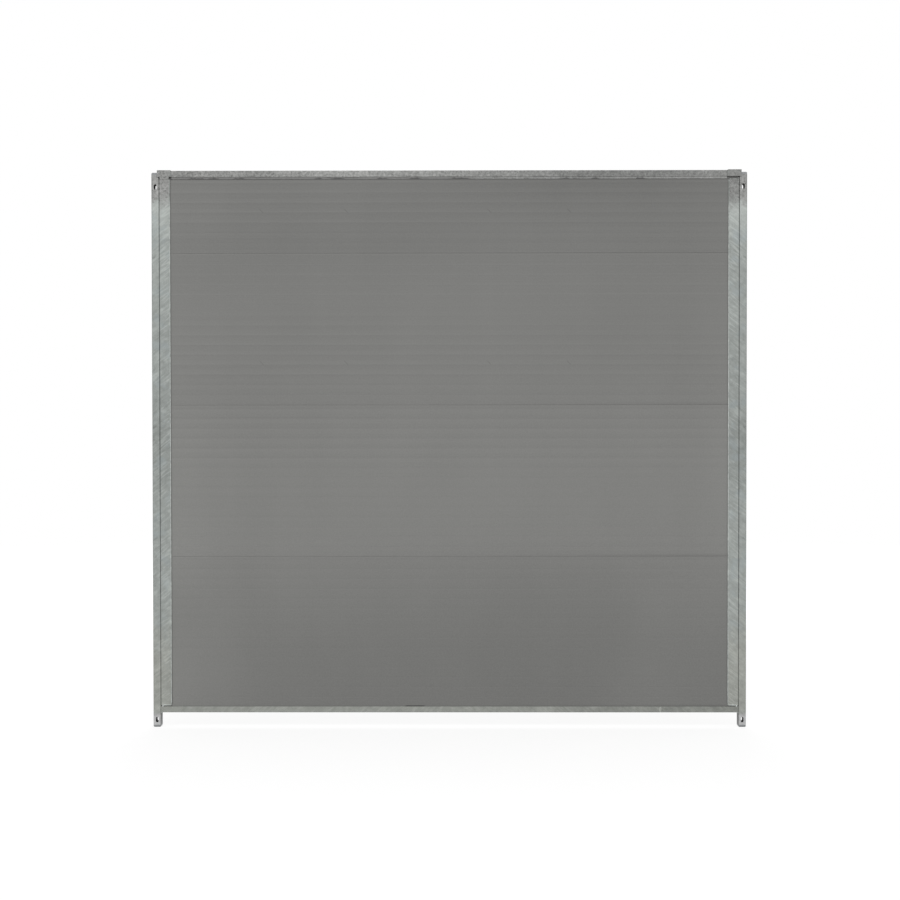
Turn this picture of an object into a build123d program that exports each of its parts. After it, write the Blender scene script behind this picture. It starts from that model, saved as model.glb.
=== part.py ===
from build123d import *
import os
from math import cos, radians, sin

# Kennel panel: a galvanised steel frame filled with hollow tongue-and-groove plastic planks.
# Millimetres, +X along the panel, +Y through it to the rear, +Z up.
# The origin is on the ground, under the middle of the panel.

# Overall
panel_width = 1960.0  # outer face of one post to outer face of the other
ground_clearance = 48.0  # floor to the underside of the bottom rail

# Steel sheet and tube
sheet = 2.0
bend_inside = 1.0
post_width = 25.0
tube_wall = 2.0
tube_inside_corner = 1.0

# Channels, rails and straps
channel_leg = 36.0
channel_foot_gap = 4.0  # side channel above the bottom rail
bottom_rail_height = 20.0
top_rail_height = 20.0
lip_height = 8.0  # stepped-in lip below the face of the top rail
joggle_drop = 2.0  # height over which the face steps in to the lip
lip_end_gap = 5.0  # lip to the tip of a side channel's leg
rail_above_post = 6.0
post_lap = 6.0  # top rail and straps over the face of a post
strap_reach = 3.0  # strap past the tip of a side channel's leg
drain_length = 26.0
drain_width = 8.0
drain_count = 4

# Bolt slots through the posts
slot_width = 9.0
slot_length = 18.0
foot_slot_height = 24.5  # middle of the lower slot above the floor
top_slot_drop = 47.0  # middle of the upper slot below the post's top

# Planks
plank_thickness = 35.0
plank_cover = 500.0  # seam to seam
whole_planks = 3
top_plank_cover = 267.0  # what is left of the plank that is ripped to height
plank_wall = 3.0
rib_thickness = 2.0
rib_count = 14
rib_head_zone = 43.0  # upper seam to the middle of the first rib
rib_foot_zone = 34.5  # middle of the last rib to the lower seam
tongue_length = 15.0
tongue_width = 14.0
tongue_wall = 2.5
seam_chamfer = 0.6
sink_width = 4.0  # shallow line that a rib draws into the face
sink_depth = 0.12

# Clearances
plank_play = 0.5  # each face of a plank to the sheet beside it
plank_end_play = 3.0  # each end of a plank to the web of its channel
top_play = 2.0  # top plank to the web of the top rail
tongue_play = 0.5  # each side of a tongue
tongue_tip_play = 1.0

# Plugs in the ends of the posts
plug_head = 7.0
plug_rim = 0.5  # how much smaller the bevel of the rim is than the rounding of the corners
plug_shy = 0.2  # head inside the outline of the post
plug_stem = 8.0
plug_stem_gap = 1.5  # stem to the bore of the post
plug_wall = 1.5
fin_count = 2
fin_thickness = 1.2
fin_play = 0.2

# Welds
fillet_leg = 4.0  # under the bottom rail
fillet_crown = 0.6  # share of the leg that the rounded face stands out
strap_weld_leg = 3.0
strap_weld_margin = 1.0
tack_length = 6.0
stitch_count = 6
stitch_length = 40.0
stitch_margin = 120.0  # end of a channel to the middle of the nearest stitch
stitch_crown = 0.6
stitch_clearance = 0.05
stitch_root_angle = 65.0  # how far round the corners the weld runs in
stitch_toe_angle = 25.0

# Places that follow from the sizes, in depth
frame_depth = plank_thickness + 2 * (plank_play + sheet)
half_depth = frame_depth / 2
bend_outside = bend_inside + sheet
tube_corner = tube_inside_corner + tube_wall
bore_width = post_width - 2 * tube_wall
bore_depth = frame_depth - 2 * tube_wall
plug_bevel = tube_corner - plug_rim

# Along the panel, from the middle outwards
post_center = panel_width / 2 - post_width / 2
post_inner = panel_width / 2 - post_width
channel_web = post_inner - sheet
flange_tip = post_inner - channel_leg
plank_half_length = channel_web - plank_end_play
lip_half_length = flange_tip - lip_end_gap
rail_half_length = post_inner + post_lap
strap_inner_end = flange_tip - strap_reach

# Upwards
rail_rim = ground_clearance + bottom_rail_height
stack_base = ground_clearance + sheet
first_shoulder = stack_base + tongue_length
top_shoulder = first_shoulder + whole_planks * plank_cover
rail_web = top_shoulder + top_plank_cover + top_play
rail_top = rail_web + sheet
rail_leg_bottom = rail_top - top_rail_height
joggle_bottom = rail_leg_bottom - joggle_drop
lip_bottom = rail_leg_bottom - lip_height
strap_top = rail_top + sheet
post_top = rail_top - rail_above_post
tube_top = post_top - plug_head
channel_bottom = rail_rim + channel_foot_gap
channel_top = lip_bottom

# Plank section
groove_width = tongue_width + 2 * tongue_play
groove_depth = tongue_length + tongue_tip_play
chamber_width = plank_thickness - 2 * plank_wall
cheek_width = (plank_thickness - groove_width) / 2 - plank_wall - tongue_wall
cheek_middle = groove_width / 2 + tongue_wall + cheek_width / 2
rib_pitch = (plank_cover - rib_head_zone - rib_foot_zone) / (rib_count - 1)

# Ways to line a sketch up with the point that it is placed at
RIGHT_OF = (Align.MIN, Align.CENTER)
ABOVE = (Align.CENTER, Align.MIN)
BELOW = (Align.CENTER, Align.MAX)


def make_post():
    """Left post: a rectangular tube with a bolt slot through front and rear near each end."""
    with BuildPart() as post:
        with BuildSketch(Plane.XY.offset(plug_head)):
            with Locations((-post_center, 0)):
                RectangleRounded(post_width, frame_depth, tube_corner)
                RectangleRounded(bore_width, bore_depth, tube_inside_corner, mode=Mode.SUBTRACT)
        extrude(amount=tube_top - plug_head)
        with BuildSketch(Plane.XZ):
            with Locations((-post_center, foot_slot_height), (-post_center, post_top - top_slot_drop)):
                SlotOverall(slot_length, slot_width, rotation=90)
        extrude(amount=frame_depth, both=True, mode=Mode.SUBTRACT)
    return post


def make_side_channel():
    """Left side channel: a folded U with its web on the post and its legs over the plank ends."""
    with BuildPart() as channel:
        with BuildSketch(Plane.XY.offset(channel_bottom)) as section:
            with Locations((-post_inner, 0)):
                Rectangle(channel_leg, frame_depth, align=RIGHT_OF)
            fillet(section.vertices().group_by(Axis.X)[0], radius=bend_outside)
            with Locations((-channel_web, 0)):
                Rectangle(channel_leg, frame_depth - 2 * sheet, align=RIGHT_OF, mode=Mode.SUBTRACT)
            fillet(section.vertices().group_by(Axis.X)[1], radius=bend_inside)
        extrude(amount=channel_top - channel_bottom)
    return channel


def make_bottom_rail():
    """Bottom rail: a folded U that the planks stand in, with slots that drain it on both sides of a tongue."""
    with BuildPart() as rail:
        with BuildSketch(Plane.YZ) as section:
            with Locations((0, ground_clearance)):
                Rectangle(frame_depth, bottom_rail_height, align=ABOVE)
            fillet(section.vertices().group_by(Axis.Y)[0], radius=bend_outside)
            with Locations((0, stack_base)):
                Rectangle(frame_depth - 2 * sheet, bottom_rail_height, align=ABOVE, mode=Mode.SUBTRACT)
            fillet(section.vertices().group_by(Axis.Y)[1], radius=bend_inside)
        extrude(amount=post_inner, both=True)
        with BuildSketch(Plane.XY.offset(ground_clearance)):
            with GridLocations(2 * post_inner / drain_count, 0, drain_count, 1):
                SlotOverall(drain_length, drain_width, rotation=90)
        extrude(amount=sheet, mode=Mode.SUBTRACT)
    return rail


def rail_outline(inset, top):
    """Outline of the top rail's stepped section, as far inside the outer face as the inset says."""
    lip = half_depth - inset
    leg = lip + sheet
    rear = [(lip, lip_bottom), (lip, joggle_bottom), (leg, rail_leg_bottom), (leg, top)]
    front = [(-depth, height) for depth, height in reversed(rear)]
    return rear + front


def make_top_rail():
    """Top rail: an inverted U whose legs lap the posts, and whose lips grip the top plank between the channels."""
    with BuildPart() as rail:
        with BuildSketch(Plane.YZ) as section:
            with BuildLine():
                Polyline(*rail_outline(0, rail_top), close=True)
            make_face()
            fillet(section.vertices().group_by(Axis.Y)[-1], radius=bend_outside)
            with BuildLine():
                Polyline(*rail_outline(sheet, rail_web), close=True)
            make_face(mode=Mode.SUBTRACT)
            fillet(section.vertices().group_by(Axis.Y)[-2], radius=bend_inside)
        extrude(amount=rail_half_length, both=True)
        with BuildSketch(Plane.XY.offset(lip_bottom)):
            with Locations((-rail_half_length, 0), (rail_half_length, 0)):
                Rectangle(2 * (rail_half_length - lip_half_length), frame_depth + 2 * sheet)
        extrude(amount=lip_height, mode=Mode.SUBTRACT)
    return rail


def make_rail_strap():
    """Left strap: a short inverted U over the notched end of the top rail."""
    with BuildPart() as strap:
        with BuildSketch(Plane.YZ.offset(-rail_half_length)) as section:
            with Locations((0, rail_leg_bottom)):
                Rectangle(frame_depth + 4 * sheet, top_rail_height + sheet, align=ABOVE)
            fillet(section.vertices().group_by(Axis.Y)[-1], radius=bend_outside)
            with Locations((0, rail_leg_bottom)):
                Rectangle(frame_depth + 2 * sheet, top_rail_height, align=ABOVE, mode=Mode.SUBTRACT)
            fillet(section.vertices().group_by(Axis.Y)[-2], radius=bend_inside)
        extrude(amount=rail_half_length - strap_inner_end)
    return strap


def cut_sink_lines(rib):
    """Shallow lines that a rib draws into both faces of a plank as it cools."""
    half_width = sink_width / 2
    with Locations((plank_thickness / 2, rib)):
        Polygon((0, -half_width), (0, half_width), (-sink_depth, 0), align=None, mode=Mode.SUBTRACT)
    with Locations((-plank_thickness / 2, rib)):
        Polygon((0, half_width), (0, -half_width), (sink_depth, 0), align=None, mode=Mode.SUBTRACT)


def cut_chambers(shoulder):
    """Row of chambers between the ribs, from the wall over the tongue to the floor of the groove."""
    floor = shoulder + plank_wall
    for index in range(rib_count):
        rib = shoulder + rib_foot_zone + index * rib_pitch
        ceiling = rib - rib_thickness / 2
        with Locations((0, floor)):
            Rectangle(chamber_width, ceiling - floor, align=ABOVE, mode=Mode.SUBTRACT)
        floor = rib + rib_thickness / 2
        cut_sink_lines(rib)
    last_ceiling = shoulder + plank_cover - groove_depth - plank_wall
    with Locations((0, floor)):
        Rectangle(chamber_width, last_ceiling - floor, align=ABOVE, mode=Mode.SUBTRACT)


def make_plank(shoulder, cover):
    """Plank that stands on the given height with its shoulders, ripped to the given cover."""
    seam_above = shoulder + plank_cover
    with BuildPart() as plank:
        with BuildSketch(Plane.YZ) as section:
            with Locations((0, shoulder)):
                Rectangle(plank_thickness, plank_cover, align=ABOVE)
            chamfer(section.vertices(), length=seam_chamfer)
            with Locations((0, shoulder)):
                Rectangle(tongue_width, tongue_length, align=BELOW)
            chamfer(section.vertices().group_by(Axis.Y)[0], length=seam_chamfer)
            with Locations((0, shoulder)):
                Rectangle(
                    tongue_width - 2 * tongue_wall,
                    tongue_length - tongue_wall,
                    align=BELOW,
                    mode=Mode.SUBTRACT,
                )
            with Locations((0, seam_above)):
                Rectangle(groove_width, groove_depth, align=BELOW, mode=Mode.SUBTRACT)
            with Locations((-cheek_middle, seam_above - plank_wall), (cheek_middle, seam_above - plank_wall)):
                Rectangle(cheek_width, groove_depth - plank_wall, align=BELOW, mode=Mode.SUBTRACT)
            cut_chambers(shoulder)
            if cover < plank_cover:
                with Locations((0, seam_above)):
                    Rectangle(plank_thickness, plank_cover - cover, align=BELOW, mode=Mode.SUBTRACT)
        extrude(amount=plank_half_length, both=True)
    return plank


def make_plug():
    """Left foot plug: a bevelled head under the post and a hollow stem with fins in its bore."""
    stem_width = bore_width - 2 * plug_stem_gap
    stem_depth = bore_depth - 2 * plug_stem_gap
    fin_pitch = plug_stem / fin_count
    with BuildPart() as plug:
        with BuildSketch():
            with Locations((-post_center, 0)):
                RectangleRounded(post_width - 2 * plug_shy, frame_depth - 2 * plug_shy, tube_corner)
        extrude(amount=plug_head)
        chamfer(plug.edges().group_by(Axis.Z)[0], length=plug_bevel)
        with BuildSketch(Plane.XY.offset(plug_head)):
            with Locations((-post_center, 0)):
                Rectangle(stem_width, stem_depth)
        extrude(amount=plug_stem)
        for index in range(fin_count):
            with BuildSketch(Plane.XY.offset(plug_head + (index + 0.5) * fin_pitch)) as fin:
                with Locations((-post_center, 0)):
                    Rectangle(bore_width - 2 * fin_play, bore_depth - 2 * fin_play)
                chamfer(fin.vertices(), length=tube_inside_corner)
            extrude(amount=fin_thickness)
        with BuildSketch(Plane.XY.offset(plug_head)):
            with Locations((-post_center, 0)):
                Rectangle(stem_width - 2 * plug_wall, stem_depth - 2 * plug_wall)
        extrude(amount=plug_stem, mode=Mode.SUBTRACT)
    return plug


def make_post_welds():
    """Left fillets: under the bottom rail, and along the end of the strap at front and rear."""
    crown = fillet_crown * fillet_leg
    strap_weld_height = tube_top - rail_leg_bottom - 2 * strap_weld_margin
    with BuildPart() as welds:
        with BuildSketch(Plane.XZ):
            with BuildLine():
                corner = (-post_inner, ground_clearance)
                along_rail = (-post_inner + fillet_leg, ground_clearance)
                down_post = (-post_inner, ground_clearance - fillet_leg)
                Line(corner, along_rail)
                ThreePointArc(along_rail, (-post_inner + crown, ground_clearance - crown), down_post)
                Line(down_post, corner)
            make_face()
        extrude(amount=half_depth - bend_outside, both=True)
        with BuildSketch(Plane.XY.offset(rail_leg_bottom + strap_weld_margin)):
            for side in (-1, 1):
                face = side * half_depth
                with BuildLine():
                    Polyline(
                        (-rail_half_length, face),
                        (-rail_half_length - strap_weld_leg, face),
                        (-rail_half_length, face + side * strap_weld_leg),
                        close=True,
                    )
                make_face()
        extrude(amount=strap_weld_height)
    return welds


def round_corner_point(center, angle):
    """Point just outside a rounded corner, at an angle from straight back, on the side of the post's inner face."""
    reach = tube_corner + stitch_clearance
    turn = radians(angle)
    return (-post_inner - tube_corner + reach * sin(turn), center + reach * cos(turn))


def make_channel_welds():
    """Left stitches in the groove behind post and channel, and tacks from the channel's legs to the bottom rail."""
    center = half_depth - tube_corner
    toe = round_corner_point(center, stitch_toe_angle)
    middle = round_corner_point(center, (stitch_toe_angle + stitch_root_angle) / 2)
    root = round_corner_point(center, stitch_root_angle)
    stitch_pitch = (channel_top - channel_bottom - 2 * stitch_margin) / (stitch_count - 1)
    tack_middle = -post_inner + bend_outside + tack_length / 2
    with BuildPart() as welds:
        for index in range(stitch_count):
            foot = channel_bottom + stitch_margin + index * stitch_pitch - stitch_length / 2
            with BuildSketch(Plane.XY.offset(foot)):
                with BuildLine():
                    ThreePointArc(toe, middle, root)
                    across = [(-2 * post_inner - x, y) for x, y in (toe, middle, root)]
                    Line(root, across[2])
                    ThreePointArc(across[2], across[1], across[0])
                    ThreePointArc(across[0], (-post_inner, half_depth + stitch_crown), toe)
                make_face()
            extrude(amount=stitch_length)
        with BuildSketch(Plane.XY.offset(rail_rim)):
            with Locations((tack_middle, half_depth - sheet / 2), (tack_middle, -half_depth + sheet / 2)):
                Rectangle(tack_length, sheet)
        extrude(amount=channel_foot_gap)
    return welds


def save(piece, name):
    """Label a finished piece and write it under its name."""
    piece.part.label = name
    export_step(piece.part, f"parts/{name}.step")


def save_pair(piece, name):
    """Write a piece of the left side, and its mirror image for the right side."""
    save(piece, f"left_{name}")
    with BuildPart() as opposite:
        mirror(piece.part, about=Plane.YZ)
    save(opposite, f"right_{name}")


os.makedirs("parts", exist_ok=True)

save_pair(make_post(), "post")
save_pair(make_side_channel(), "side_channel")
save_pair(make_rail_strap(), "rail_strap")
save_pair(make_post_welds(), "post_welds")
save_pair(make_channel_welds(), "channel_welds")
save(make_bottom_rail(), "bottom_rail")
save(make_top_rail(), "top_rail")

# Plugs at the foot of the posts, and the same plugs upside down at their tops
foot_plug = make_plug()
save_pair(foot_plug, "foot_plug")
with BuildPart() as top_plug:
    mirror(foot_plug.part, about=Plane.XY.offset(post_top / 2))
save_pair(top_plug, "top_plug")

# Courses of planks, from the bottom rail upwards
course_names = ["bottom", "second", "third", "fourth", "fifth", "sixth", "seventh", "eighth"]
for course in range(whole_planks):
    save(make_plank(first_shoulder + course * plank_cover, plank_cover), f"{course_names[course]}_plank")
save(make_plank(top_shoulder, top_plank_cover), "top_plank")
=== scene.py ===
from math import cos, pi, radians, sin, sqrt

import bmesh
import bpy
from mathutils import Matrix, Vector, noise


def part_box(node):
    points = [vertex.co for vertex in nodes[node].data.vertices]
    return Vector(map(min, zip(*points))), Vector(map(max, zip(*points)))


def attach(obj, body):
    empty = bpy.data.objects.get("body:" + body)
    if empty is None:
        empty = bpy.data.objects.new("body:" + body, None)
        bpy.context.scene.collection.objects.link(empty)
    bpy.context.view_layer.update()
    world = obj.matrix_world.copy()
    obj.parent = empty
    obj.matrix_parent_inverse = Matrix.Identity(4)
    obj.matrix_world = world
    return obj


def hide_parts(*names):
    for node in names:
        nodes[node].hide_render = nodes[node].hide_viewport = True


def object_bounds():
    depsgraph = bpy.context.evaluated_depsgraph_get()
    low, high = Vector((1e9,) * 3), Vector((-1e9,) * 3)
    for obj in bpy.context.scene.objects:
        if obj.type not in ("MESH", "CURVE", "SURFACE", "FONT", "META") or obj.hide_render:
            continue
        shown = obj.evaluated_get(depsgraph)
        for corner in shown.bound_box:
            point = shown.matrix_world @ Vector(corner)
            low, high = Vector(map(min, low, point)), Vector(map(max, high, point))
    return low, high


# The kennel panel's looks: zinc, plastic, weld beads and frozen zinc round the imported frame. Metres, +Z up.
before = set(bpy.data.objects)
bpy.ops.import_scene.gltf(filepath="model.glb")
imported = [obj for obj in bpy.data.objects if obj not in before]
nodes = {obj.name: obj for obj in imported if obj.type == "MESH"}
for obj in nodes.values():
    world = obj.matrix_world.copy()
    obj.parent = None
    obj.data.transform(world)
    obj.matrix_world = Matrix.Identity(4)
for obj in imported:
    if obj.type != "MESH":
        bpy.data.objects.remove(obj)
cad_low, cad_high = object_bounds()
scene = bpy.context.scene
scene.view_settings.view_transform = "Standard"

MM = 0.001
SIDES = {"left": -1, "right": 1}
FRONT_AND_REAR = (-1, 1)
PLANKS = ["bottom_plank", "second_plank", "third_plank", "top_plank"]
ALONG = Vector((1, 0, 0))
DEEP = Vector((0, 1, 0))
UP = Vector((0, 0, 1))
WHITE = (1, 1, 1, 1)

# Photograph's camera, in metres, degrees and pixels of the photograph's frame
PHOTO_SIZE = 900
CAMERA_PLACE = (0.0431, -6.296, 1.0483)
CAMERA_PITCH = -1.204
CAMERA_ROLL = 0.048
CAMERA_YAW = 0.369
CAMERA_FOCAL_PIXELS = 1903.4
CAMERA_CLIP_END = 100
SENSOR_WIDTH_MM = 36.0

# Studio, in metres and watts: each lamp's name, place, width, height and power
FLOOR_RADIUS = 9.0
FLOOR_DROP = 0.2 * MM
FLOOR_CORNERS = 96
FLOOR_PALE = (0.8, 0.8, 0.8, 1)
FLOOR_SHADOW_SHARE = (0.3, 0.3, 0.3, 1)
FLOOR_GLOW_REACH = (2.2, 4.5)
FLOOR_GLOW = (0.76, 0.86)
WORLD_LIGHT = 0.62
WORLD_SHOWN = 1.0
LAMPS = [
    ("key", (0, -4.4, 4.6), 3.6, 2.0, 105),
    ("fill", (0, -6.6, 0.6), 4.0, 1.2, 30),
    ("back", (0, 4.6, 3.6), 3.6, 2.0, 95)]

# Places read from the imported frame
post_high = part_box("left_post")[1]
channel_low, channel_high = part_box("left_side_channel")
rail_low, rail_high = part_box("top_rail")
strap_low, strap_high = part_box("left_rail_strap")
bottom_rail_low, bottom_rail_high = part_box("bottom_rail")
HEIGHT = cad_high.z
POST_INNER = -post_high.x
FLANGE_TIP = -channel_high.x
FLANGE_FRONT = -channel_low.y
FLANGE_FOOT = channel_low.z
FLANGE_TOP = channel_high.z
RAIL_END = rail_high.x
RAIL_RIM = bottom_rail_high.z
RAIL_FOOT = bottom_rail_low.z
FACE_FRONT = -rail_low.y
FACE_FOOT = strap_low.z
STRAP_END = -strap_high.x
STRAP_FRONT = -strap_low.y
TUBE_TOP = post_high.z
PLANK_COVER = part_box("third_plank")[0].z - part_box("second_plank")[0].z

# Sizes that the frame's boxes do not show
LIP_END = FLANGE_TIP - 5.0 * MM
TONGUE_LENGTH = 15.0 * MM
FIRST_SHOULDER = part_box("bottom_plank")[0].z + TONGUE_LENGTH
RIB_FOOT_ZONE = 34.5 * MM
RIB_PITCH = 32.5 * MM
STITCH_COUNT = 6
STITCH_LENGTH = 40.0 * MM
STITCH_MARGIN = 120.0 * MM

# Zinc and plastic, in linear colour
ZINC_DARK = (0.152, 0.162, 0.155, 1)
ZINC_LIGHT = (0.506, 0.537, 0.515, 1)
ZINC_BLUE = (0.273, 0.309, 0.319, 1)
ZINC_LOW = (1.03, 1.0, 0.965, 1)
ZINC_FOOT = (1.055, 1.0, 1.045, 1)
BEAD_LIGHT = (0.66, 0.68, 0.665, 1)
SPRAY_DARK = (0.12, 0.122, 0.118, 1)
SPRAY_LIGHT = (0.4, 0.402, 0.392, 1)
# Painted shade: on the lip under the rail's face, and in gaps, corners and on the posts' shaded inner faces
LIP_SHADE = (0.16, 0.159, 0.155, 1)
PAINTED_SHADE = (0.035, 0.034, 0.034, 1)
PLUG_GREY = (0.27, 0.28, 0.285, 1)
PLANK_GREY = (0.2175, 0.218, 0.2085, 1)

# Scales of the patterns in the surfaces, per metre
ZINC_BROAD_SCALE = 5.0
ZINC_PATCH_SCALE = 20.0
ZINC_BLOTCH_SCALE = 55.0
ZINC_SPANGLE_SCALE = 90.0
ZINC_GRAIN_SCALE = 300.0
SPRAY_PATCH_SCALE = 14.0
SPRAY_BLOTCH_SCALE = 125.0
SPRAY_SPECK_SCALE = 190.0
LIP_SHADE_SCALE = 30.0
RAGGED_SCALE = 90.0
CREVICE_SCALE = 150.0
RAIL_GRAIN_SCALE = 420.0
BEAD_PATCH_SCALE = 110.0
BEAD_GRAIN_SCALE = 600.0
PLANK_SPECK_SCALE = 110.0
PLANK_MOTTLE_SCALE = 220.0
PLANK_GRAIN_SCALE = 900.0
PLANK_DRAWN_SCALES = (0.6, 0.0, 260.0)
PLANK_CLOUD_SCALES = (5.0, 1.0, 1.6)
PLUG_DUST_SCALE = 60.0
PLUG_GRAIN_SCALE = 700.0

# Streaks where the zinc ran off: their rise, and their scales along, through and across them
RUN_RISE = radians(38)
RUN_SOFT_SCALES = (16.0, 40.0, 150.0)
RUN_LINE_SCALES = (9.0, 1.0, 85.0)
RUN_BREAK_SCALE = 26.0

# Heights of the plank seams as shares of the panel's height, and the share over which a tone steps there
LOW_SEAM = (FIRST_SHOULDER + PLANK_COVER) / HEIGHT
MID_SEAM = (FIRST_SHOULDER + 2 * PLANK_COVER) / HEIGHT
TOP_SEAM = (FIRST_SHOULDER + 3 * PLANK_COVER) / HEIGHT
TONE_STEP = 0.001

# Tone of the planks by share of the height: each course's own tone, with painted light and shade that is
# lightest at middle height
PLANK_TONE = [
    (0.0, 0.785), (0.14, 0.775), (LOW_SEAM, 0.847), (LOW_SEAM + TONE_STEP, 0.872), (0.33, 0.897),
    (0.41, 0.899), (0.48, 0.883), (MID_SEAM, 0.845), (MID_SEAM + TONE_STEP, 0.825), (0.77, 0.778),
    (TOP_SEAM, 0.72), (TOP_SEAM + TONE_STEP, 0.7), (0.93, 0.678), (0.976, 0.65)]
# Painted shading of a plank's skin from one rib up to the next, where the skin dips at the ribs
RIB_SHAPE = [
    (0.0, 0.45), (0.1, 1.0), (0.18, 1.0), (0.26, 0.75), (0.42, 0.7), (0.5, 0.5), (0.58, 0.35), (0.8, 0.28),
    (0.88, 0.08), (0.96, 0.1), (1.0, 0.45)]
# Strength of that shading by share of the height: none at 0.5, and turned round below it
RIB_TURN = [
    (0.0, 0.48), (0.13, 0.455), (0.3, 0.33), (0.31, 0.42), (0.465, 0.38), (0.475, 0.12), (0.57, 0.12),
    (0.585, 0.42), (0.615, 0.2), (0.63, 0.9), (0.69, 0.88), (0.76, 0.58), (0.85, 0.56), (0.885, 0.2),
    (0.9, 0.92)]
# Painted light and dark lines on the ribs by share of the height: none at 0.5, and dark below it
RIB_LINE = [
    (0.0, 0.5), (0.17, 0.52), (0.22, 0.58), (0.28, 0.6), (0.31, 0.36), (0.46, 0.42), (0.48, 0.3),
    (0.6, 0.25), (0.69, 0.25), (0.765, 0.6), (0.775, 0.88), (0.85, 0.88), (0.87, 0.22)]
RIB_LINE_HALF = (1.0 * MM, 2.8 * MM)
# Shift of shading and lines by share of the height, as a share of the reach: none at 0.5, and up above it
RIB_SHIFT = [
    (LOW_SEAM, 0.5), (LOW_SEAM + TONE_STEP, 0.37), (MID_SEAM, 0.37), (MID_SEAM + TONE_STEP, 0.5),
    (0.765, 0.5), (0.775, 0.79), (TOP_SEAM, 0.79), (TOP_SEAM + TONE_STEP, 0.5)]
RIB_SHIFT_REACH = 20 * MM
# Soft light and dark places on the planks: x, z, reach along and reach up in metres, and amount
SOFT_PLACES = [
    (-1.0, 0.15, 0.5, 0.5, 0.22), (-1.0, 0.9, 0.4, 0.6, 0.13), (-1.0, 1.75, 0.4, 0.5, 0.15),
    (1.0, 0.9, 0.25, 1.0, 0.09), (1.0, 1.75, 0.3, 0.4, 0.05), (0.25, 0.35, 0.5, 0.35, -0.045),
    (-0.5, 1.87, 0.8, 0.3, 0.075), (0.5, 1.82, 0.7, 0.25, -0.06), (-1.0, 1.32, 0.5, 0.25, 0.075),
    (-1.0, 0.57, 0.4, 0.25, 0.1), (-0.55, 0.52, 0.75, 0.25, 0.03), (0.3, 0.1, 0.28, 0.22, -0.042),
    (0.46, 0.38, 0.26, 0.28, -0.03), (0.67, 0.1, 0.2, 0.22, 0.04), (0.78, 0.4, 0.17, 0.3, 0.028),
    (0.55, 1.3, 0.45, 0.35, -0.024)]
# Scuffs on the upper two courses: places along the planks in millimetres, and height above the seam
SCUFFS = [-618, -339, 132, 395]
SCUFF_HEIGHT = 139 * MM
SCUFF_LENGTH = (6.0 * MM, 18.0 * MM)
SCUFF_WIDTH = (1.0 * MM, 2.8 * MM)
# Painted shadow in a dark wedge above the seams on the right, a light edge below them, and painted shadow
# beside the channels
WEDGE_HEIGHT = 13 * MM
LIGHT_EDGE = (12 * MM, 4 * MM)
CHANNEL_SHADE = (5 * MM, 1 * MM)
# Painted shade in the gap between the lowest plank and the bottom rail: middle, half length and height above
# the rim
FOOT_GAP = -113.0 * MM
FOOT_GAP_HALF = 36.0 * MM
FOOT_GAP_HEIGHT = (2.0 * MM, 4.5 * MM)

# Tone of all zinc by share of the height, near the floor and up to the middle
FOOT_TONE = [(0.0, 0.76), (0.012, 0.7), (0.02, 0.65), (0.0245, 0.44), (0.032, 0.38)]
LOWER_TONE = [(0.12, 0.38), (0.25, 0.375), (0.34, 0.36), (0.41, 0.327), (0.51, 0.22)]
# Tone of the zinc above the middle, on the posts and on the folded sheet
POST_TONE = [
    (0.57, 0.3), (0.6, 0.36), (0.64, 0.36), (0.7, 0.316), (0.8, 0.315), (0.875, 0.375), (0.902, 0.5),
    (0.925, 0.51), (0.94, 0.59)]
SHEET_TONE = [
    (0.6, 0.305), (0.7, 0.316), (0.8, 0.335), (0.84, 0.31), (0.875, 0.31), (0.902, 0.45), (0.925, 0.485)]
# Small marks on the zinc: distance from the middle, height and reach in millimetres, and amount
ZINC_MARKS = [
    (932, 1720, 4, 0.12), (944, 1612, 5, 0.14), (928, 1147, 5, 0.17), (945, 1056, 4, 0.13),
    (941, 530, 5, 0.14), (941, 273, 5, 0.13), (972, 1551, 5, -0.17), (972, 992, 5, -0.18),
    (972, 624, 5, -0.16), (972, 468, 5, -0.17)]
MARK_SLANT = 0.6
MARK_FLATNESS = 1.6
# Tone of the top rail by share of its length
RAIL_TONE = [
    (0.0, 0.48), (0.08, 0.43), (0.16, 0.32), (0.25, 0.5), (0.33, 0.53), (0.42, 0.42), (0.5, 0.41),
    (0.6, 0.31), (0.76, 0.17), (0.85, 0.18), (0.93, 0.31), (1.0, 0.33)]
# Strips of deeper painted shade in the crevice under the rail's face: middle and half length in millimetres
CREVICE_GAPS = [
    (-830, 30), (-775, 20), (-690, 20), (-430, 12), (-365, 25), (-220, 18), (-110, 20), (35, 35), (383, 11),
    (480, 12), (628, 14)]
CREVICE_RISE = 3.9 * MM
CREVICE_FULL_HALF = 11
CREVICE_FADE = 4

# Beads: half width and half thickness of each kind, steps between their rings, and their rounded ends
RING_CORNERS = 10
LEAST_STEPS = 8
END_ROUNDING = 1.5
END_SHARE = 0.1
TIP_BEAD = (1.5 * MM, 0.35 * MM)
TIP_STEP = 8 * MM
FOOT_BEAD = (1.7 * MM, 0.9 * MM)
TOP_BEAD = (0.9 * MM, 0.7 * MM)
LEG_STEP = 2 * MM
STITCH_BEAD = (2.9 * MM, 1.4 * MM)
TACK_BEAD = (3.0 * MM, 1.5 * MM)
TACK_STEP = 0.6 * MM
RAIL_FILLET = (3.6 * MM, 3.6 * MM)
STRAP_FILLET = (2.5 * MM, 2.5 * MM)
WELD_STEP = 0.55 * MM
STRAP_BEAD = (1.0 * MM, 0.3 * MM)
STRAP_STEP = 1.5 * MM
RUN_BEAD = (4.0 * MM, 0.5 * MM)
RUN_STEP = 1 * MM
SCALE_PITCH = 2.2 * MM
UNEVEN_SCALE = 70.0

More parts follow.
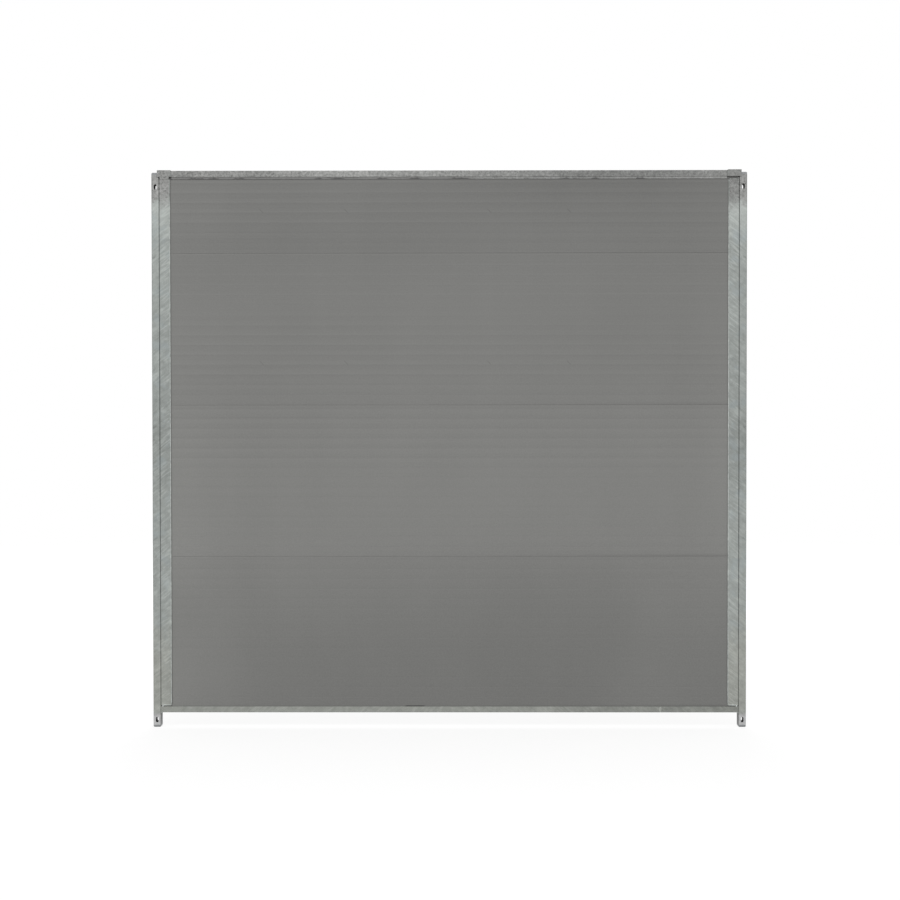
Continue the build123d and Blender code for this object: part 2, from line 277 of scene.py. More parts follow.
# Where the beads lie on the steel
TIP_INSET = 1.1 * MM
LEG_TIP_MARGIN = 2 * MM
LEG_POST_MARGIN = 4 * MM
FOOT_BEAD_LIFT = 0.6 * MM
TOP_BEAD_DROP = 0.4 * MM
EDGE_SINK = 0.5 * MM
WELD_SINK = 0.8 * MM
TACK_REACH = (10 * MM, 2.6 * MM)
FILLET_MARGIN = 3 * MM
STRAP_FILLET_MARGIN = 0.6 * MM
STRAP_INSET = 0.9 * MM
STRAP_FOOT_MARGIN = 0.5 * MM
STRAP_TOP_MARGIN = 3 * MM
RUN_PLACE = 697.0 * MM
RUN_LEAN = 1 * MM
RUN_MARGIN = 1 * MM

# Drips along the rail's face: long ones at the front on the left, up to their end
DRIP_PITCH = 4 * MM
DRIP_LONG = 4.2 * MM
DRIP_SHORT = 1.6 * MM
DRIP_LEAST = 0.6 * MM
DRIP_LONG_END = 76 * MM
DRIP_SINK = 1.0 * MM
DRIP_LAP = 0.5 * MM
DRIP_HALF_OUT = 1.1 * MM

# Zinc in the gaps between straps and channels
GAP_STEPS = 26
GAP_END_SHARE = 0.55
GAP_RAGGED_SHARE = 0.2

# Noise that makes drips and gaps ragged: share, scale along the panel, and the y and z at which it is read
DRIP_NOISE = [(1.0, 24, 3.7, 0.4), (0.4, 80, 1.0, 5.1)]
GAP_NOISE = [(1.0, 90, 1.7, 0.3), (0.5, 260, 4.1, 0.8)]


class Graph:
    """A material's node tree. Inputs are named, and take a value or another node's output."""

    def __init__(self, name):
        self.material = bpy.data.materials.new(name)
        self.material.use_nodes = True
        self.tree = self.material.node_tree
        self.tree.nodes.clear()
        self.place = self.add("ShaderNodeTexCoord").outputs["Object"]
        axes = self.add("ShaderNodeSeparateXYZ", {"Vector": self.place}).outputs
        self.x, self.y, self.z = axes["X"], axes["Y"], axes["Z"]
        self.inward = self.math("ABSOLUTE", self.x)
        self.height = self.math("DIVIDE", self.z, HEIGHT)

    def add(self, kind, inputs=None, **settings):
        node = self.tree.nodes.new(kind)
        for key, value in settings.items():
            setattr(node, key, value)
        for key, value in (inputs or {}).items():
            if isinstance(value, bpy.types.NodeSocket):
                self.tree.links.new(value, node.inputs[key])
            else:
                node.inputs[key].default_value = value
        return node

    def math(self, operation, *values):
        return self.add("ShaderNodeMath", dict(enumerate(values)), operation=operation).outputs[0]

    def plus(self, first, second):
        return self.math("ADD", first, second)

    def minus(self, first, second):
        return self.math("SUBTRACT", first, second)

    def times(self, first, second):
        return self.math("MULTIPLY", first, second)

    def larger(self, first, second):
        return self.math("MAXIMUM", first, second)

    def away(self, value, middle):
        """Distance from a middle."""
        return self.math("ABSOLUTE", self.minus(value, middle))

    def vector(self, x, y, z):
        return self.add("ShaderNodeCombineXYZ", {"X": x, "Y": y, "Z": z}).outputs[0]

    def scaled(self, vector, scales):
        return self.add("ShaderNodeVectorMath", {0: vector, 1: scales}, operation="MULTIPLY").outputs[0]

    def noise(self, vector, scale, detail=3.0, roughness=0.55):
        inputs = {"Vector": vector, "Scale": scale, "Detail": detail, "Roughness": roughness}
        return self.add("ShaderNodeTexNoise", inputs).outputs["Fac"]

    def cells(self, vector, scale):
        return self.add("ShaderNodeTexVoronoi", {"Vector": vector, "Scale": scale}).outputs["Color"]

    def span(self, value, low, high, to_low=0.0, to_high=1.0):
        """Smooth change from one level to another while a value goes from low to high."""
        inputs = {"Value": value, "From Min": low, "From Max": high, "To Min": to_low, "To Max": to_high}
        return self.add("ShaderNodeMapRange", inputs, interpolation_type="SMOOTHSTEP").outputs[0]

    def mix(self, share, first, second, blend="MIX"):
        inputs = {0: share, 6: first, 7: second}
        return self.add("ShaderNodeMix", inputs, data_type="RGBA", blend_type=blend).outputs[2]

    def ramp(self, value, stops):
        node = self.add("ShaderNodeValToRGB", {"Fac": value})
        elements = node.color_ramp.elements
        while len(elements) < len(stops):
            elements.new(0.5)
        for element, (place, level) in zip(elements, stops):
            element.position = place
            element.color = (level, level, level, 1)
        return node.outputs["Color"]

    def sum(self, base, *terms):
        """Base level plus each term's distance from its middle, times its weight."""
        total = base
        for value, middle, weight in terms:
            total = self.plus(total, self.times(self.minus(value, middle), weight))
        return total

    def shade(self, colour, level):
        """Colour times a level."""
        return self.mix(1.0, colour, self.vector(level, level, level), "MULTIPLY")

    def bump(self, height, distance):
        inputs = {"Height": height, "Distance": distance, "Strength": 1.0}
        return self.add("ShaderNodeBump", inputs).outputs["Normal"]

    def surface(self, inputs):
        shader = self.add("ShaderNodeBsdfPrincipled", inputs)
        self.add("ShaderNodeOutputMaterial", {"Surface": shader.outputs[0]})
        return self.material


def zinc_runs(graph):
    """Soft streaks and thin lines where the zinc ran off, rising towards the panel's middle on both sides."""
    along = graph.minus(graph.times(graph.z, sin(RUN_RISE)), graph.times(graph.inward, cos(RUN_RISE)))
    across = graph.plus(graph.times(graph.z, cos(RUN_RISE)), graph.times(graph.inward, sin(RUN_RISE)))
    slope = graph.vector(along, graph.y, across)
    soft = graph.noise(graph.scaled(slope, RUN_SOFT_SCALES), 1.0, roughness=0.65)
    wave = graph.noise(graph.scaled(slope, RUN_LINE_SCALES), 1.0, detail=0.0)
    lines = graph.span(graph.away(wave, 0.5), 0.0, 0.12, 1.0, 0.0)
    broken = graph.span(graph.noise(graph.place, RUN_BREAK_SCALE, detail=2.0), 0.38, 0.6)
    return soft, graph.times(lines, broken)


def zinc_marks(graph):
    """Sum of small light and dark marks, the same on both sides and slanted like the streaks."""
    total = 0.0
    for middle, height, reach, amount in ZINC_MARKS:
        along = graph.minus(graph.inward, middle * MM)
        up = graph.plus(graph.minus(graph.z, height * MM), graph.times(along, MARK_SLANT))
        upright = graph.times(graph.math("ABSOLUTE", up), MARK_FLATNESS)
        distance = graph.larger(graph.math("ABSOLUTE", along), upright)
        mark = graph.span(distance, 0.4 * reach * MM, 1.4 * reach * MM, amount, 0.0)
        total = graph.plus(total, mark)
    return total


def spray_level(graph, right_contrast):
    """Mottled tone of zinc that was sprayed over the welded ends, with small dark specks."""
    blotches = graph.noise(graph.place, SPRAY_BLOTCH_SCALE, detail=4.0, roughness=0.7)
    patches = graph.noise(graph.place, SPRAY_PATCH_SCALE, detail=2.0)
    contrast = graph.span(graph.x, -0.3, 0.7, 1.6, right_contrast)
    blotches = graph.times(graph.minus(blotches, 0.5), contrast)
    specks = graph.span(graph.noise(graph.place, SPRAY_SPECK_SCALE, detail=2.0), 0.28, 0.42, -0.45, 0.0)
    level = graph.sum(0.52, (blotches, 0.0, 1.0), (patches, 0.5, 0.5))
    return graph.plus(level, specks)


def inner_shadow(graph):
    """Shadow on the posts' inner faces below the bottom rail."""
    inner_face = graph.span(graph.inward, POST_INNER + 0.4 * MM, POST_INNER + 2.2 * MM, 1.0, 0.0)
    below_rail = graph.span(graph.z, RAIL_FOOT - 2 * MM, RAIL_FOOT, 0.5, 0.0)
    behind_web = graph.span(graph.inward, POST_INNER - 0.3 * MM, POST_INNER - 0.1 * MM)
    return graph.times(graph.times(inner_face, behind_web), below_rail)


def zinc_material(name, run_weight, blotch_weight, upper_tone, spray_from, spray_tone, fade,
                  shift=0.0, lean=0.0):
    """Hot-dip zinc: dull, with a fine spangle and run-off streaks, toned by height, and sprayed at the top.
    The spray's lower height and its tone are given for the left and for the right, and fade is how softly it
    ends. Shift makes the foot lighter or darker, and lean the right side."""
    graph = Graph(name)
    foot_tone = [(place, level + shift) for place, level in FOOT_TONE]
    zone = graph.ramp(graph.height, foot_tone + LOWER_TONE + upper_tone)
    broad = graph.noise(graph.place, ZINC_BROAD_SCALE, detail=2.0)
    patches = graph.noise(graph.place, ZINC_PATCH_SCALE, detail=2.0)
    blotches = graph.noise(graph.place, ZINC_BLOTCH_SCALE, roughness=0.6)
    soft, lines = zinc_runs(graph)
    spangle = graph.cells(graph.place, ZINC_SPANGLE_SCALE)
    grain = graph.noise(graph.place, ZINC_GRAIN_SCALE, detail=2.0)
    level = graph.sum(zone, (broad, 0.5, 0.2), (soft, 0.5, run_weight), (lines, 0.1, 0.8 * run_weight),
                      (blotches, 0.5, blotch_weight), (spangle, 0.5, 0.05), (grain, 0.5, 0.3),
                      (zinc_marks(graph), 0.0, 1.0), (graph.span(graph.x, -0.1, 0.7), 0.0, lean))
    colour = graph.mix(level, ZINC_DARK, ZINC_LIGHT)

    blue = graph.times(graph.span(patches, 0.5, 0.7, 0.0, 0.35), graph.span(graph.z, 0.06, 0.5, 0.1, 1.0))
    colour = graph.mix(blue, colour, ZINC_BLUE)
    warmth = graph.span(graph.sum(graph.z, (patches, 0.5, 0.2)), 0.2, 0.42, 1.0, 0.0)
    warmth = graph.times(warmth, graph.span(graph.z, 0.03, 0.06))
    colour = graph.mix(warmth, colour, ZINC_LOW, "MULTIPLY")
    at_foot = graph.span(graph.z, RAIL_FOOT - 8 * MM, RAIL_FOOT, 1.0, 0.0)
    colour = graph.mix(at_foot, colour, ZINC_FOOT, "MULTIPLY")

    sprayed = graph.mix(spray_level(graph, right_contrast=1.7), SPRAY_DARK, SPRAY_LIGHT)
    sprayed = graph.shade(sprayed, graph.span(graph.x, -0.5, 0.5, *spray_tone))
    boundary = graph.span(graph.x, -0.5, 0.5, *spray_from)
    edge = graph.minus(graph.sum(graph.z, (patches, 0.5, 0.03), (blotches, 0.5, 0.08)), boundary)
    colour = graph.mix(graph.span(edge, -fade, fade), colour, sprayed)

    shadow = inner_shadow(graph)
    colour = graph.mix(shadow, colour, PAINTED_SHADE)
    relief = graph.sum(soft, (grain, 0.5, 0.25), (blotches, 0.5, 0.5))
    return graph.surface({
        "Base Color": colour, "Metallic": graph.times(graph.minus(1.0, shadow), 0.8),
        "Roughness": graph.sum(0.5, (soft, 0.5, -0.3), (grain, 0.5, 0.2), (shadow, 0.0, 0.5)),
        "Normal": graph.bump(relief, 0.15 * MM)})


def lip_end_shade(graph):
    """Painted shade in the corners between the ends of the lip and the side channels, darker on the left."""
    inside = graph.span(graph.inward, LIP_END - 5 * MM, LIP_END)
    above = graph.span(graph.z, FLANGE_TOP - 4 * MM, FLANGE_TOP)
    amount = graph.span(graph.x, -0.5, 0.5, 0.85, 0.4)
    return graph.times(graph.times(inside, above), amount)


def crevice(graph):
    """How much painted shade darkens the lip under the rail's face along its left half, and where strips of
    deeper painted shade lie.
    """
    along = graph.vector(graph.x, 0.0, 0.0)
    uneven = graph.noise(along, LIP_SHADE_SCALE, detail=2.0)
    # Painted shade on the lip's left half, with a ragged edge
    shade_share = graph.span(graph.sum(graph.x, (uneven, 0.5, 0.06)), 0.06, 0.085, 0.85, 0.0)
    strips = 0.0
    for middle, half in CREVICE_GAPS:
        away = graph.away(graph.x, middle * MM)
        depth = min(1.0, half / CREVICE_FULL_HALF)
        strip = graph.span(away, 0.5 * half * MM, (half + CREVICE_FADE) * MM, depth, 0.0)
        strips = graph.larger(strips, strip)
    ragged = graph.noise(along, RAGGED_SCALE, detail=0.5)
    return shade_share, graph.times(strips, graph.span(ragged, 0.3, 0.7, 0.5, 1.25))


def rail_material(name):
    """Top rail and straps: mottled sprayed zinc, with painted shade on the lip under the face and painted
    light on its right half.
    """
    graph = Graph(name)
    grain = graph.noise(graph.place, RAIL_GRAIN_SCALE, detail=2.0)
    along = graph.plus(graph.math("DIVIDE", graph.x, 2 * RAIL_END), 0.5)
    tone = graph.ramp(along, RAIL_TONE)
    on_lip = graph.span(graph.z, FACE_FOOT - 1.5 * MM, FACE_FOOT - 0.2 * MM, 1.0, 0.0)
    # Painted light along the top of the lip on the right half
    lip_painted_light = graph.times(on_lip, graph.span(graph.x, 0.15, 0.45))
    level = graph.sum(spray_level(graph, right_contrast=1.0), (grain, 0.5, 0.25), (tone, 0.5, 1.0),
                      (lip_painted_light, 0.0, 0.11))
    colour = graph.mix(level, SPRAY_DARK, SPRAY_LIGHT)
    shade_share, strips = crevice(graph)
    # Painted shade on the lip, and painted shadow where the lip meets the planks
    colour = graph.mix(graph.times(shade_share, on_lip), colour, LIP_SHADE)
    above_lip = graph.minus(graph.minus(graph.z, FLANGE_TOP), graph.times(strips, CREVICE_RISE))
    above_lip = graph.sum(above_lip, (graph.noise(graph.place, CREVICE_SCALE), 0.5, 5 * MM))
    colour = graph.mix(graph.span(above_lip, -1.6 * MM, 1.9 * MM, 0.64, 0.0), colour, PAINTED_SHADE)
    return graph.surface({
        "Base Color": colour, "Metallic": 0.7, "Roughness": graph.sum(0.58, (grain, 0.5, 0.25)),
        "Normal": graph.bump(level, 0.2 * MM)})


def bead_material(name, dark, light):
    """Weld beads and thick zinc on edges: smoother than the flat zinc, and darker in the sprayed zone."""
    graph = Graph(name)
    patches = graph.noise(graph.place, BEAD_PATCH_SCALE)
    grain = graph.noise(graph.place, BEAD_GRAIN_SCALE, detail=2.0)
    level = graph.sum(0.6, (patches, 0.5, 1.2), (grain, 0.5, 0.3))
    colour = graph.mix(level, dark, light)
    colour = graph.shade(colour, graph.span(graph.z, FLANGE_TOP - 90 * MM, FLANGE_TOP - 60 * MM, 1.0, 0.62))
    return graph.surface({
        "Base Color": colour, "Metallic": 0.8, "Roughness": graph.sum(0.42, (grain, 0.5, 0.3)),
        "Normal": graph.bump(patches, 0.2 * MM)})


def soft_places(graph):
    """Sum of the planks' soft light and dark places."""
    total = 0.0
    for x, z, reach_along, reach_up, amount in SOFT_PLACES:
        along = graph.math("DIVIDE", graph.minus(graph.x, x), reach_along)
        up = graph.math("DIVIDE", graph.minus(graph.z, z), reach_up)
        distance = graph.math("SQRT", graph.plus(graph.times(along, along), graph.times(up, up)))
        total = graph.plus(total, graph.span(distance, 0.0, 1.0, amount, 0.0))
    return total


def scuffs(graph, above_seam):
    """Short slanting scuffs at the same height in the upper two courses."""
    total = 0.0
    up = graph.minus(above_seam, SCUFF_HEIGHT)
    for middle in SCUFFS:
        along = graph.minus(graph.x, middle * MM)
        down_slope = graph.span(graph.away(along, up), *SCUFF_LENGTH, 1.0, 0.0)
        across_slope = graph.span(graph.math("ABSOLUTE", graph.plus(along, up)), *SCUFF_WIDTH, 1.0, 0.0)
        total = graph.plus(total, graph.times(down_slope, across_slope))
    return graph.times(total, graph.math("GREATER_THAN", graph.z, FIRST_SHOULDER + 2 * PLANK_COVER))


def rib_painted_shade(graph, above_seam):
    """Painted shade and light in bands of the planks' skin between the ribs, and painted lines along the
    ribs.
    """
    shift = graph.ramp(graph.height, RIB_SHIFT)
    above_rib = graph.sum(above_seam, (RIB_FOOT_ZONE, 0.0, -1.0), (shift, 0.5, -RIB_SHIFT_REACH))
    between_ribs = graph.math("FRACT", graph.math("DIVIDE", above_rib, RIB_PITCH))
    turn = graph.minus(graph.ramp(graph.height, RIB_TURN), 0.5)
    bands = graph.times(graph.minus(graph.ramp(between_ribs, RIB_SHAPE), 0.5), turn)
    bands = graph.times(bands, graph.span(graph.x, -0.9, 0.9, 1.15, 0.85))
    from_rib = graph.times(graph.math("PINGPONG", between_ribs, 0.5), RIB_PITCH)
    line = graph.minus(graph.ramp(graph.height, RIB_LINE), 0.5)
    return bands, graph.times(line, graph.span(from_rib, *RIB_LINE_HALF, 1.0, 0.0))


def plank_painted_shade(graph):
    """Painted shade in the planks' corners: beside the channels, at the ends of the lip and in the gap at the
    foot.
    """
    shade_share = graph.span(graph.inward, FLANGE_TIP - CHANNEL_SHADE[0], FLANGE_TIP - CHANNEL_SHADE[1])
    shade_share = graph.times(shade_share, graph.span(graph.x, -0.5, 0.5, 0.3, 0.1))
    shade_share = graph.larger(shade_share, lip_end_shade(graph))
    from_gap = graph.away(graph.x, FOOT_GAP)
    foot_gap = graph.span(from_gap, 0.7 * FOOT_GAP_HALF, FOOT_GAP_HALF, 0.9, 0.0)
    low, high = FOOT_GAP_HEIGHT
    foot_gap = graph.times(foot_gap, graph.span(graph.z, RAIL_RIM + low, RAIL_RIM + high, 1.0, 0.0))
    return graph.larger(shade_share, foot_gap)


def plank_material(name):
    """Extruded planks: satin grey plastic with drawn lines along the ribs, and faint painted shade and light
    in bands between them and in lines on them.
    """
    graph = Graph(name)
    course = graph.math("FRACT", graph.math("DIVIDE", graph.minus(graph.z, FIRST_SHOULDER), PLANK_COVER))
    above_seam = graph.times(course, PLANK_COVER)
    drawn = graph.noise(graph.scaled(graph.place, PLANK_DRAWN_SCALES), 1.0, detail=4.0, roughness=0.65)
    clouds = graph.noise(graph.scaled(graph.place, PLANK_CLOUD_SCALES), 1.0, detail=2.0)
    grain = graph.noise(graph.place, PLANK_GRAIN_SCALE, detail=2.0)
    mottle = graph.noise(graph.place, PLANK_MOTTLE_SCALE, detail=2.0)
    # Painted shade and light where the skin dips at the ribs
    bands, painted_rib_line = rib_painted_shade(graph, above_seam)
    drawn_weight = graph.span(graph.z, 0.05, 0.55, 0.04, 0.12)
    mottle_weight = graph.span(graph.z, 0.5, 1.5, 0.24, 0.17)
    level = graph.sum(graph.ramp(graph.height, PLANK_TONE), (drawn, 0.5, drawn_weight), (clouds, 0.5, 0.09),
                      (grain, 0.5, 0.06), (mottle, 0.5, mottle_weight), (bands, 0.0, 0.16),
                      (painted_rib_line, 0.0, 0.095), (soft_places(graph), 0.0, 1.0))

    # Painted shadow above the seams on the right
    wedge = graph.times(graph.span(graph.x, 0.1, 0.95), graph.span(above_seam, 0.0, WEDGE_HEIGHT, 1.0, 0.0))
    wedge = graph.times(wedge, graph.span(graph.z, 0.6, 1.6, 0.135, 0.045))
    light_edge = graph.span(above_seam, PLANK_COVER - LIGHT_EDGE[0], PLANK_COVER - LIGHT_EDGE[1])
    light_edge = graph.times(light_edge, graph.span(graph.x, -0.9, 0.3, 0.016, 0.006))
    specks = graph.span(graph.noise(graph.place, PLANK_SPECK_SCALE, detail=1.0), 0.8, 0.84, 0.0, 0.25)
    level = graph.sum(level, (wedge, 0.0, -1.0), (light_edge, 0.0, 1.0),
                      (scuffs(graph, above_seam), 0.0, -0.17), (specks, 0.0, -1.0))
    # Painted shade in the planks' corners and gaps
    colour = graph.mix(plank_painted_shade(graph), graph.shade(PLANK_GREY, level), PAINTED_SHADE)
    relief = graph.sum(drawn, (grain, 0.5, 0.3))
    return graph.surface({
        "Base Color": colour, "Roughness": graph.sum(0.44, (drawn, 0.5, 0.2), (grain, 0.5, 0.15)),
        "IOR": 1.46, "Normal": graph.bump(relief, 0.04 * MM)})


def plug_material(name):
    """Moulded plugs: matt grey plastic with a fine texture."""
    graph = Graph(name)
    grain = graph.noise(graph.place, PLUG_GRAIN_SCALE, detail=2.0)
    dust = graph.noise(graph.place, PLUG_DUST_SCALE)
    level = graph.sum(1.0, (grain, 0.5, 0.2), (dust, 0.5, 0.5))
    return graph.surface({
        "Base Color": graph.shade(PLUG_GREY, level), "Roughness": graph.sum(0.6, (grain, 0.5, 0.3)),
        "Normal": graph.bump(grain, 0.08 * MM)})


def dress(node_name, material):
    """Give a CAD node its material."""
    mesh = nodes[node_name].data
    mesh.materials.clear()
    mesh.materials.append(material)


post_zinc = zinc_material("post_zinc", run_weight=0.16, blotch_weight=0.46, upper_tone=POST_TONE,
                          spray_from=(1.736, 1.726), spray_tone=(0.99, 0.92), fade=16 * MM, lean=-0.02)
sheet_zinc = zinc_material("sheet_zinc", run_weight=0.22, blotch_weight=0.32, upper_tone=SHEET_TONE,
                           spray_from=(1.727, 1.724), spray_tone=(0.91, 0.74), fade=38 * MM, lean=-0.01)
low_zinc = zinc_material("low_zinc", run_weight=0.12, blotch_weight=0.3, upper_tone=SHEET_TONE,
                         spray_from=(1.8, 1.8), spray_tone=(1.0, 1.0), fade=16 * MM, shift=-0.105, lean=-0.13)
rail_zinc = rail_material("sprayed_zinc")
edge_zinc = bead_material("edge_zinc", ZINC_DARK, ZINC_LIGHT)
weld_zinc = bead_material("weld_zinc", ZINC_DARK, BEAD_LIGHT)
plank_plastic = plank_material("plank_plastic")
plug_plastic = plug_material("plug_plastic")
for side in SIDES:
    dress(f"{side}_post", post_zinc)
    dress(f"{side}_side_channel", sheet_zinc)
    dress(f"{side}_rail_strap", rail_zinc)
    dress(f"{side}_post_welds", weld_zinc)
    dress(f"{side}_channel_welds", weld_zinc)
    dress(f"{side}_foot_plug", plug_plastic)
    dress(f"{side}_top_plug", plug_plastic)
dress("bottom_rail", low_zinc)
dress("top_rail", rail_zinc)
for plank in PLANKS:
    dress(plank, plank_plastic)


def add_tube(shape, places, sizes, across, out):
    """Closed tube through the places, as wide across and as far out as the sizes say at each."""
    rings = []
    for place, (half_across, half_out) in zip(places, sizes):
        turns = [2 * pi * corner / RING_CORNERS for corner in range(RING_CORNERS)]
        rings.append([
            shape.verts.new(place + across * half_across * cos(turn) + out * half_out * sin(turn))
            for turn in turns])
    for first, second in zip(rings, rings[1:]):
        for corner in range(RING_CORNERS):
            following = (corner + 1) % RING_CORNERS
            shape.faces.new((first[corner], first[following], second[following], second[corner]))
    shape.faces.new(rings[0])
    shape.faces.new(rings[-1])


def add_bead(shape, start, end, across, out, size, step, uneven=0.0, scales=0.0, swell=0.0):
    """Bead with rounded ends. Uneven is how much its thickness wanders, scales how far a weld's scales stand
    up and swell how much thicker it grows towards its end."""
    start = Vector(start)
    end = Vector(end)
    length = (end - start).length
    count = max(LEAST_STEPS, round(length / step))
    places = []
    sizes = []
    for index in range(count + 1):
        share = index / count
        place = start.lerp(end, share)
        from_end = min(min(share, 1 - share) * length / (END_ROUNDING * max(size)), 1.0)
        thickness = max(sqrt(1 - (1 - from_end) ** 2), END_SHARE)
        thickness *= 1 + uneven * noise.noise(place * UNEVEN_SCALE) + swell * share ** 3
        thickness *= 1 + scales * abs(sin(pi * share * length / SCALE_PITCH))
        places.append(place)
        sizes.append((size[0] * thickness, size[1] * thickness))
    add_tube(shape, places, sizes, across, out)


def add_piece(name, shape, material):
    """Turn a shape into a smooth piece on the panel."""
    bmesh.ops.recalc_face_normals(shape, faces=shape.faces)
    mesh = bpy.data.meshes.new(name)
    shape.to_mesh(mesh)
    shape.free()
    for polygon in mesh.polygons:
        polygon.use_smooth = True
    mesh.materials.append(material)
    piece = bpy.data.objects.new(name, mesh)
    scene.collection.objects.link(piece)
    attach(piece, "root")
    return piece


def make_channel_edges(side, sign):
    """Thick zinc along the tips, feet and tops of a side channel's legs."""
    shape = bmesh.new()
    tip = sign * (FLANGE_TIP + TIP_INSET)
    near = sign * (FLANGE_TIP + LEG_TIP_MARGIN)
    far = sign * (POST_INNER - LEG_POST_MARGIN)
    foot = FLANGE_FOOT + FOOT_BEAD_LIFT
    top = FLANGE_TOP - TOP_BEAD_DROP
    for face in FRONT_AND_REAR:
        outside = face * FLANGE_FRONT
        inside = face * (FLANGE_FRONT - EDGE_SINK)
        add_bead(shape, (tip, outside, FLANGE_FOOT), (tip, outside, FLANGE_TOP), ALONG, DEEP,
                 TIP_BEAD, TIP_STEP, uneven=0.45)
        add_bead(shape, (near, inside, foot), (far, inside, foot), UP, DEEP,
                 FOOT_BEAD, LEG_STEP, uneven=0.4, swell=0.5)
        add_bead(shape, (near, inside, top), (far, inside, top), UP, DEEP,
                 TOP_BEAD, LEG_STEP, uneven=0.4, swell=0.6)
    add_piece(f"{side}_channel_edge_zinc", shape, edge_zinc)


def make_channel_welds(side, sign):
    """Scaly stitches behind post and channel, and tacks from the channel's legs to the bottom rail."""
    shape = bmesh.new()
    pitch = (FLANGE_TOP - FLANGE_FOOT - 2 * STITCH_MARGIN) / (STITCH_COUNT - 1)
    seam = sign * POST_INNER
    rear = FLANGE_FRONT - WELD_SINK
    for index in range(STITCH_COUNT):
        middle = FLANGE_FOOT + STITCH_MARGIN + index * pitch
        add_bead(shape, (seam, rear, middle - STITCH_LENGTH / 2), (seam, rear, middle + STITCH_LENGTH / 2),
                 ALONG, DEEP, STITCH_BEAD, WELD_STEP, uneven=0.2, scales=0.14)
    gap_middle = (FLANGE_FOOT + RAIL_RIM) / 2
    start, end = [sign * (POST_INNER - reach) for reach in TACK_REACH]
    for face in FRONT_AND_REAR:
        inside = face * (FLANGE_FRONT - WELD_SINK)
        add_bead(shape, (start, inside, gap_middle), (end, inside, gap_middle), UP, DEEP,
                 TACK_BEAD, TACK_STEP, uneven=0.3, scales=0.1)
    piece = add_piece(f"{side}_channel_weld_beads", shape, weld_zinc)
    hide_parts(f"{side}_channel_welds")


def make_post_welds(side, sign):
    """Scaly fillet under the bottom rail, and short ones at the end of the strap."""
    shape = bmesh.new()
    corner = sign * POST_INNER
    reach = FLANGE_FRONT - FILLET_MARGIN
    add_bead(shape, (corner, -reach, RAIL_FOOT), (corner, reach, RAIL_FOOT), ALONG, UP,
             RAIL_FILLET, WELD_STEP, uneven=0.15, scales=0.1)
    end = sign * RAIL_END
    foot = FACE_FOOT + STRAP_FILLET_MARGIN
    top = TUBE_TOP - STRAP_FILLET_MARGIN
    for face in FRONT_AND_REAR:
        outside = face * FLANGE_FRONT
        add_bead(shape, (end, outside, foot), (end, outside, top), ALONG, DEEP,
                 STRAP_FILLET, WELD_STEP, uneven=0.2, scales=0.1)
    piece = add_piece(f"{side}_post_weld_beads", shape, weld_zinc)
    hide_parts(f"{side}_post_welds")


def make_strap_edges(side, sign):
    """Thick zinc down the inner ends of a strap."""
    shape = bmesh.new()
    end = sign * (STRAP_END + STRAP_INSET)
    foot = FACE_FOOT + STRAP_FOOT_MARGIN
    top = HEIGHT - STRAP_TOP_MARGIN
    for face in FRONT_AND_REAR:
        outside = face * STRAP_FRONT
        add_bead(shape, (end, outside, foot), (end, outside, top), ALONG, DEEP,
                 STRAP_BEAD, STRAP_STEP, uneven=0.4)
    add_piece(f"{side}_strap_edge_zinc", shape, edge_zinc)


def wander(x, face, patterns):
    """Sum of noise patterns at a place along the panel. The front's differ from the rear's."""
    return sum(share * noise.noise(Vector((x * scale, face * y, z))) for share, scale, y, z in patterns)


def make_rail_drips():
    """Ragged zinc that hangs from the lower edge of the rail's face, longest at the front on the left."""
    shape = bmesh.new()
    count = round(2 * LIP_END / DRIP_PITCH)
    for face in FRONT_AND_REAR:
        places = []
        sizes = []
        for index in range(count + 1):
            x = -LIP_END + 2 * LIP_END * index / count
            longest = DRIP_LONG if face < 0 and x < DRIP_LONG_END else DRIP_SHORT
            length = DRIP_LEAST + longest * max(wander(x, face, DRIP_NOISE), 0.0)
            places.append(Vector((x, face * (FACE_FRONT - DRIP_SINK), FACE_FOOT + DRIP_LAP - length / 2)))
            sizes.append((length / 2 + DRIP_LAP, DRIP_HALF_OUT))
        add_tube(shape, places, sizes, UP, DEEP)
    add_piece("top_rail_drips", shape, rail_zinc)


def make_rail_run():
    """Zinc that ran down the front of the bottom rail in one place."""
    shape = bmesh.new()
    add_bead(shape, (RUN_PLACE - RUN_LEAN, -FLANGE_FRONT, RAIL_FOOT + RUN_MARGIN),
             (RUN_PLACE + RUN_LEAN, -FLANGE_FRONT, RAIL_RIM - RUN_MARGIN), ALONG, DEEP,
             RUN_BEAD, RUN_STEP, uneven=0.35)
    add_piece("bottom_rail_run", shape, sheet_zinc)


def make_gap_zinc(side, start, end, top, foot, half_out, material):
    """Zinc that closed most of the gap between a strap and its channel at the front, from its top (y, z) to
    its ragged foot."""
    shape = bmesh.new()
    top = Vector((0, *top))
    down = Vector((0, *foot)) - top
    places = []
    sizes = []
    for index in range(GAP_STEPS + 1):
        x = start + (end - start) * index / GAP_STEPS
        taper = GAP_END_SHARE if index in (0, GAP_STEPS) else 1.0
        reach = down * (1 + GAP_RAGGED_SHARE * wander(x, 1, GAP_NOISE)) * taper
        places.append(ALONG * x + top + reach / 2)
        sizes.append((reach.length / 2, half_out * taper))
    add_tube(shape, places, sizes, down.normalized(), down.normalized().cross(ALONG))
    add_piece(f"{side}_gap_zinc", shape, material)


